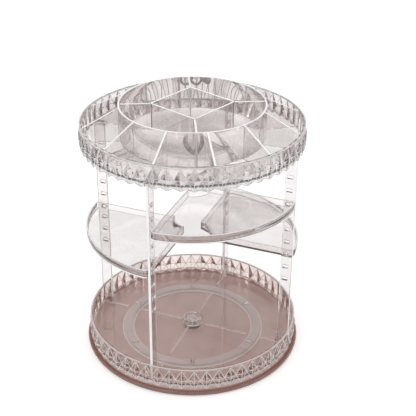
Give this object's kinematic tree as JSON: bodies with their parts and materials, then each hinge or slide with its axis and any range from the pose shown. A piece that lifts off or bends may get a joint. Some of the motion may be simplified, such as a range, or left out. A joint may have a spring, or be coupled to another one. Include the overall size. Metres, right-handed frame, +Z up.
{
  "type": "rotating cosmetics organizer",
  "caption": "Clear rotating cosmetics carousel: two diamond-cut round trays joined by posts, with hung fan shelves, radial compartments and a lift-out brush cup.",
  "frame": {"origin": "middle of the resting plane under the rubber feet, on the turning axis", "axes": "+Z up along the turning axis, -Y towards the front, +X to the right seen from the front"},
  "size_m": [0.289, 0.289, 0.3402],
  "materials": {
    "clear_plastic": "clear, polished, moulded",
    "warm_clear_plastic": "clear with a warm tint, polished, moulded",
    "clear_rubber": "translucent soft rubber",
    "race_plastic": "satin translucent",
    "bright_steel": "bright"
  },
  "bodies": {
    "base": {"base_disc": "warm_clear_plastic", "rubber_feet": "clear_rubber", "bearing_race": "race_plastic", "centre_pin": "bright_steel", "pin_nut": "bright_steel"},
    "roller_cage": {"cage_ring": "race_plastic", "bearing_rollers": "bright_steel"},
    "carousel": {"bottom_tray": "warm_clear_plastic", "hub_cap": "warm_clear_plastic", "post_front_left": "clear_plastic", "post_front_right": "clear_plastic", "post_back_right": "clear_plastic", "post_back_left": "clear_plastic"},
    "front_shelf": {"shelf_front": "clear_plastic"},
    "right_shelf": {"shelf_right": "clear_plastic"},
    "back_shelf": {"shelf_back": "clear_plastic"},
    "left_shelf": {"shelf_left": "clear_plastic"},
    "top_tray_unit": {"top_tray": "clear_plastic", "ring_partition": "clear_plastic", "divider_01": "clear_plastic", "divider_02": "clear_plastic", "divider_03": "clear_plastic", "divider_04": "clear_plastic", "divider_05": "clear_plastic", "divider_06": "clear_plastic", "divider_07": "clear_plastic", "divider_08": "clear_plastic", "divider_09": "clear_plastic", "divider_10": "clear_plastic", "divider_11": "clear_plastic", "divider_12": "clear_plastic", "inner_web_1": "clear_plastic", "inner_web_2": "clear_plastic", "inner_web_3": "clear_plastic", "inner_web_4": "clear_plastic"},
    "cup": {"brush_cup": "clear_plastic"}
  },
  "joints": [
    {"name": "carousel_spin", "type": "hinge", "parent": "base", "child": "carousel", "pos_m": [0, 0, 0.0125], "axis": [0, 0, 1], "continuous": true},
    {"name": "cage_spin", "type": "hinge", "parent": "base", "child": "roller_cage", "pos_m": [0, 0, 0.0096], "axis": [0, 0, 1], "continuous": true},
    {"name": "front_shelf_pull", "type": "slide", "parent": "carousel", "child": "front_shelf", "axis": [0.3907, -0.9205, 0], "range_m": [0, 0.11]},
    {"name": "right_shelf_pull", "type": "slide", "parent": "carousel", "child": "right_shelf", "axis": [0.9205, 0.3907, 0], "range_m": [0, 0.11]},
    {"name": "back_shelf_pull", "type": "slide", "parent": "carousel", "child": "back_shelf", "axis": [-0.3907, 0.9205, 0], "range_m": [0, 0.11]},
    {"name": "left_shelf_pull", "type": "slide", "parent": "carousel", "child": "left_shelf", "axis": [-0.9205, -0.3907, 0], "range_m": [0, 0.11]},
    {"name": "top_tray_lift", "type": "slide", "parent": "carousel", "child": "top_tray_unit", "axis": [0, 0, 1], "range_m": [0, 0.06]},
    {"name": "cup_lift", "type": "slide", "parent": "top_tray_unit", "child": "cup", "axis": [0, 0, 1], "range_m": [0, 0.08]}
  ],
  "couplings": [
    {"joint": "cage_spin", "follows": "carousel_spin", "ratio": 0.5}
  ]
}
